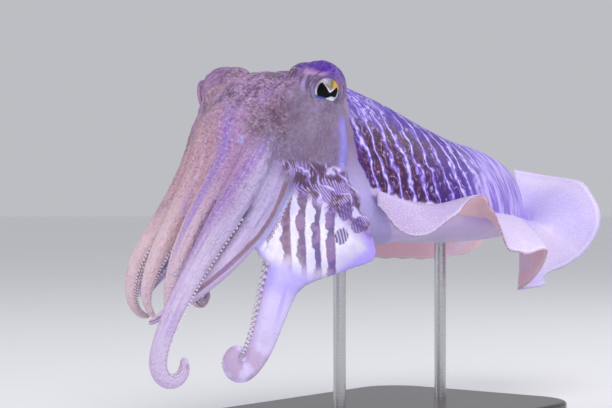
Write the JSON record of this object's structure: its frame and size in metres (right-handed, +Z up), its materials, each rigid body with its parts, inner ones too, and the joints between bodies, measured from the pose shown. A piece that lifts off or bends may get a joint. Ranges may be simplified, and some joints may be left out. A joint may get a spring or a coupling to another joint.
{
  "type": "common cuttlefish model",
  "caption": "Life-size still model of a swimming common cuttlefish with gathered arms, curled arm tips and rippled side fins, held over a flat base by short rods.",
  "frame": {"origin": "middle of the underside of the stand's base, at floor level", "axes": "+Z up, +Y towards the animal's tail, +X to the animal's left"},
  "size_m": [0.1409, 0.3321, 0.1744],
  "materials": {
    "mantle_skin": "moist skin, dark zebra bands over violet and lavender",
    "head_skin": "moist skin, mauve-grey with brown mottles and small white spots",
    "arm_skin": "moist skin, tan-pink to pale lavender with rows of white spots",
    "fin_membrane": "thin moist membrane, pale pink-lavender with fine white specks",
    "eye": "wet, glossy, with a black W-shaped pupil",
    "stand_wood": "black satin lacquer",
    "stand_steel": "brushed"
  },
  "bodies": {
    "root": {"mantle": "mantle_skin", "head": "head_skin", "arm_crown": "head_skin", "funnel": "head_skin", "fin_left": "fin_membrane", "fin_right": "fin_membrane", "eye_left": "eye", "eye_right": "eye", "arm_left_1_upper": "arm_skin", "arm_left_1_tip": "arm_skin", "arm_left_2_upper": "arm_skin", "arm_left_2_tip": "arm_skin", "arm_left_3_upper": "arm_skin", "arm_left_3_tip": "arm_skin", "arm_left_4_upper": "arm_skin", "arm_left_4_tip": "arm_skin", "arm_right_1_upper": "arm_skin", "arm_right_1_tip": "arm_skin", "arm_right_2_upper": "arm_skin", "arm_right_2_tip": "arm_skin", "arm_right_3_upper": "arm_skin", "arm_right_3_tip": "arm_skin", "arm_right_4_upper": "arm_skin", "arm_right_4_tip": "arm_skin", "stand_base": "stand_wood", "stand_rod_front": "stand_steel", "stand_rod_rear": "stand_steel"}
  },
  "joints": []
}
